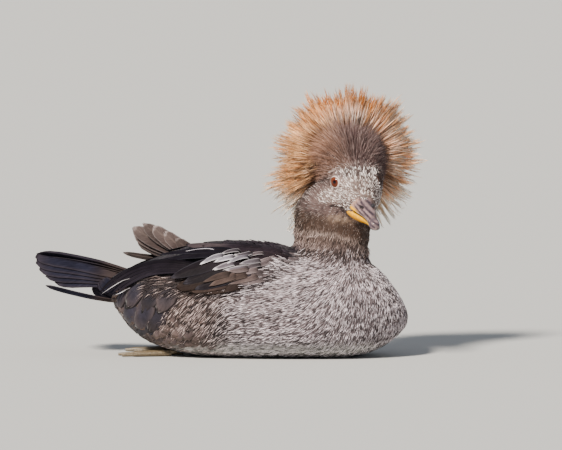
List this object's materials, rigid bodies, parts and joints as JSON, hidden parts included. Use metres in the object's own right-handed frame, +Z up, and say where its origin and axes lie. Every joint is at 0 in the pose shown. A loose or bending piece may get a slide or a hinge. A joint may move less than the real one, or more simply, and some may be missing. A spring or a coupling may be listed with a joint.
{
  "type": "hooded merganser figure",
  "caption": "Life-size still model of a female hooded merganser afloat, crest raised, head turned to its right, resting on its belly with the feet tucked under.",
  "frame": {"origin": "middle of the bounding box's underside, on the floor under the belly", "axes": "+X towards the breast, along the body's length; +Y towards the bird's left; +Z up"},
  "size_m": [0.2816, 0.1342, 0.1983],
  "materials": {
    "body_feathers": "soft matt feathers, grey-brown with fine pale fringes",
    "neck_feathers": "soft matt feathers, grey-brown",
    "head_feathers": "soft short feathers, dark grey-brown crown and paler face",
    "crest_feathers": "loose tawny feathers, white at the lowest tips",
    "bill_upper": "satin horn, slate grey",
    "bill_lower": "satin horn, orange-yellow with a dark tip",
    "eye": "wet, red-brown iris",
    "wing_feathers": "stiff blackish-brown vanes with pale shafts",
    "tail_feathers": "stiff blackish vanes",
    "foot_skin": "olive-brown scaled skin"
  },
  "bodies": {
    "root": {"torso": "body_feathers", "neck": "neck_feathers", "head": "head_feathers", "crest": "crest_feathers", "bill_upper": "bill_upper", "bill_lower": "bill_lower", "eye_left": "eye", "eye_right": "eye", "wing_left": "wing_feathers", "wing_right": "wing_feathers", "tail": "tail_feathers", "foot_left": "foot_skin", "foot_right": "foot_skin"}
  },
  "joints": []
}
